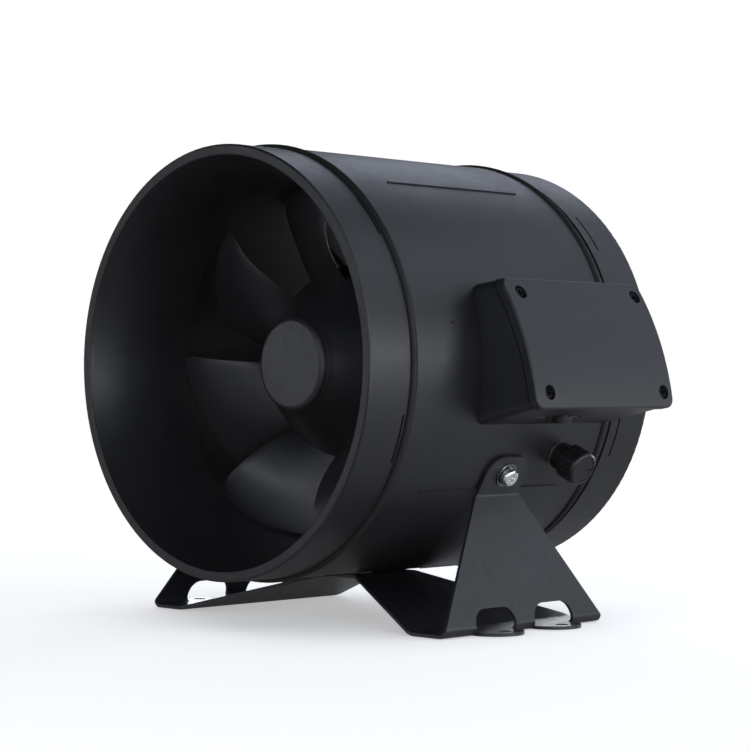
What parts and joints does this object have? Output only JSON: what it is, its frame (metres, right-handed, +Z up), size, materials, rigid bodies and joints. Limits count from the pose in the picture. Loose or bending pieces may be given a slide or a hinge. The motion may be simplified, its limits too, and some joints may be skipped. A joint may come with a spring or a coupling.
{
  "type": "inline duct fan",
  "caption": "Inline mixed-flow duct fan with round spigots, bladed impeller, side terminal box, speed knob and folded sheet-metal floor bracket.",
  "frame": {"origin": "on the floor plane, at the centre of the four foot bolt holes", "axes": "+Y along the duct axis with the airflow, so the inlet faces -Y; +X towards the terminal box; +Z up"},
  "size_m": [0.2444, 0.19, 0.2213],
  "materials": {
    "casing_plastic": "moulded, fine satin grain",
    "inner_plastic": "moulded, matt",
    "impeller_plastic": "glass-filled nylon, satin",
    "box_plastic": "moulded, fine satin grain",
    "knob_plastic": "moulded, satin",
    "seal_rubber": "soft, matt",
    "bracket_coat": "black powder coat",
    "chrome_screw": "polished",
    "black_screw": "black oxide",
    "zinc_steel": "zinc plated",
    "spring_steel": "plain",
    "bearing_steel": "ground",
    "lamination_steel": "stacked sheets",
    "cast_aluminium": "die-cast",
    "copper_winding": "enamelled wire",
    "magnet_grey": "sintered",
    "insert_brass": "knurled",
    "circuit_board": "solder mask",
    "block_plastic": "moulded",
    "capacitor_film": "sleeved"
  },
  "bodies": {
    "fan_casing": {"inlet_spigot": "casing_plastic", "outlet_spigot": "casing_plastic", "front_seal_ring": "seal_rubber", "rear_seal_ring": "seal_rubber", "centre_casing": "casing_plastic", "inlet_bellmouth": "casing_plastic", "outlet_diffuser": "casing_plastic", "impeller_shroud": "inner_plastic", "support_webs": "inner_plastic", "stator_housing": "inner_plastic", "stator_ring": "inner_plastic", "guide_vanes": "inner_plastic", "tail_cone": "inner_plastic", "motor_base": "cast_aluminium", "front_bearing": "bearing_steel", "rear_bearing": "bearing_steel", "motor_stator_core": "lamination_steel", "motor_windings": "copper_winding", "motor_board": "circuit_board", "motor_screws": "zinc_steel", "terminal_box": "box_plastic", "cover_gasket": "seal_rubber", "terminal_cover": "box_plastic", "cover_screws": "black_screw", "cable_grommet": "seal_rubber", "terminal_block": "block_plastic", "terminal_screws": "zinc_steel", "speed_board": "circuit_board", "run_capacitor": "capacitor_film", "control_body": "zinc_steel", "control_nut": "zinc_steel", "mounting_bracket": "bracket_coat", "bracket_inserts": "insert_brass", "bracket_washers": "spring_steel", "bracket_spring_washers": "spring_steel", "bracket_screws": "chrome_screw"},
    "impeller_rotor": {"impeller_hub": "impeller_plastic", "impeller_blades": "impeller_plastic", "nose_cap": "impeller_plastic", "impeller_nut": "zinc_steel", "impeller_washer": "zinc_steel", "rotor_can": "zinc_steel", "rotor_magnets": "magnet_grey", "motor_shaft": "bearing_steel", "shaft_circlip": "spring_steel"},
    "speed_control": {"speed_knob": "knob_plastic", "control_spindle": "cast_aluminium"}
  },
  "joints": [
    {"name": "impeller_spin", "type": "hinge", "parent": "fan_casing", "child": "impeller_rotor", "pos_m": [0, -0.023, 0.1205], "axis": [0, 1, 0], "continuous": true},
    {"name": "knob_turn", "type": "hinge", "parent": "fan_casing", "child": "speed_control", "pos_m": [0.1001, 0.0316, 0.07488], "axis": [0.91, 0, -0.4147], "range_deg": [-135, 135]}
  ]
}
